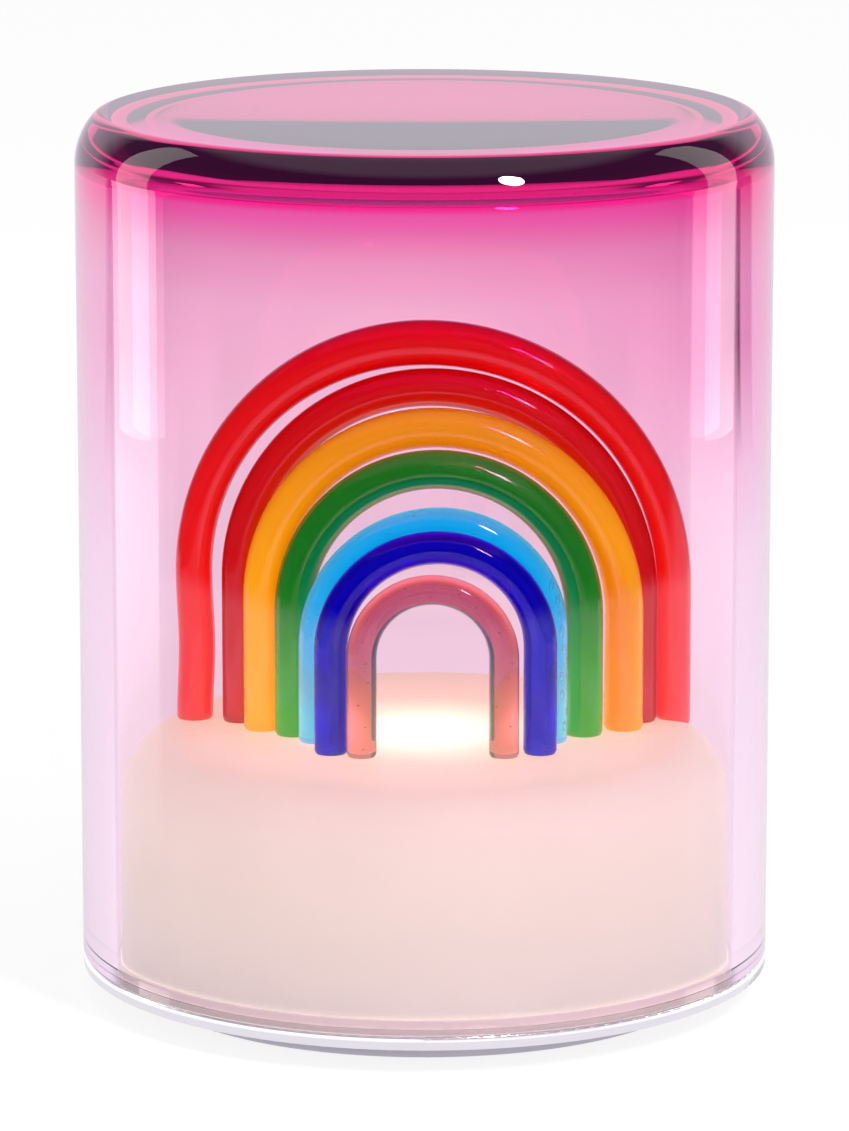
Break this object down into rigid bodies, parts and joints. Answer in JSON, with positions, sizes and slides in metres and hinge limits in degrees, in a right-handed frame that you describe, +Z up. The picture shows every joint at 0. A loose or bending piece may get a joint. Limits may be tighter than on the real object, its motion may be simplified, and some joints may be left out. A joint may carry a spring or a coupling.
{
  "type": "cordless table lamp",
  "caption": "Cordless table lamp: a thick tinted glass bell lifts off a round metal base, over a glowing opal mound with a rainbow of bent glass canes.",
  "frame": {"origin": "on the table, on the lamp's axis, under the middle of the foot", "axes": "+Z up along the lamp's axis, -Y to the front of the rainbow, +Y to the charging socket"},
  "size_m": [0.16, 0.16, 0.2059],
  "materials": {
    "tinted_glass": "fire-polished clear glass, magenta at the shoulder fading to almost clear",
    "clear_silicone": "clear silicone",
    "opal_glass": "satin opal glass, lit from inside",
    "white_silicone": "white silicone",
    "rose_glass": "clear rose glass cane",
    "cobalt_glass": "cobalt glass cane",
    "sky_glass": "sky-blue glass cane",
    "green_glass": "green glass cane",
    "amber_glass": "amber glass cane",
    "red_glass": "red glass cane",
    "turned_aluminium": "turned and clear anodised",
    "foot_aluminium": "satin anodised",
    "pad_rubber": "moulded",
    "screw_steel": "zinc plated",
    "white_abs": "moulded",
    "plate_aluminium": "sheared plate",
    "led_board_white": "white solder mask on an aluminium core",
    "led_phosphor": "phosphor",
    "frosted_polycarbonate": "frosted",
    "lead_insulation": "silicone insulation",
    "grey_abs": "moulded",
    "cell_sleeve": "shrunk sleeve on a steel can",
    "nickel_plate": "nickel plated",
    "board_laminate": "solder mask on glass laminate",
    "component_black": "moulded epoxy",
    "spacer_brass": "turned",
    "button_aluminium": "turned and anodised",
    "spring_steel": "drawn wire",
    "clear_acrylic": "clear moulded acrylic"
  },
  "bodies": {
    "base": {"shade_seal": "clear_silicone", "opal_mound": "opal_glass", "mound_seal": "white_silicone", "cane_rose": "rose_glass", "cane_cobalt": "cobalt_glass", "cane_sky": "sky_glass", "cane_green": "green_glass", "cane_amber": "amber_glass", "cane_inner_red": "red_glass", "cane_outer_red": "red_glass", "tray": "turned_aluminium", "foot": "foot_aluminium", "foot_pads": "pad_rubber", "foot_screws": "screw_steel", "core_housing": "white_abs", "housing_screws": "screw_steel", "led_carrier": "plate_aluminium", "carrier_screws": "screw_steel", "led_board": "led_board_white", "leds": "led_phosphor", "led_cover": "frosted_polycarbonate", "led_leads": "lead_insulation", "cell_cradle": "grey_abs", "cradle_screws": "screw_steel", "cells": "cell_sleeve", "cell_contacts": "nickel_plate", "control_board": "board_laminate", "board_parts": "component_black", "board_spacers": "spacer_brass", "board_screws": "screw_steel", "button_spring": "spring_steel", "tact_switch": "component_black", "socket_board": "board_laminate", "usb_socket": "nickel_plate", "socket_screws": "screw_steel", "socket_leads": "lead_insulation", "charge_light": "clear_acrylic"},
    "shade": {"glass_shade": "tinted_glass"},
    "button": {"power_button": "button_aluminium", "switch_plunger": "white_abs"}
  },
  "joints": [
    {"name": "shade_lift", "type": "slide", "parent": "base", "child": "shade", "axis": [0, 0, 1], "range_m": [0, 0.16]},
    {"name": "button_press", "type": "slide", "parent": "base", "child": "button", "axis": [0, 0, 1], "range_m": [0, 0.0008], "stiffness_N_per_m": 500, "springref_m": -0.002, "deforming": ["button_spring"]}
  ]
}
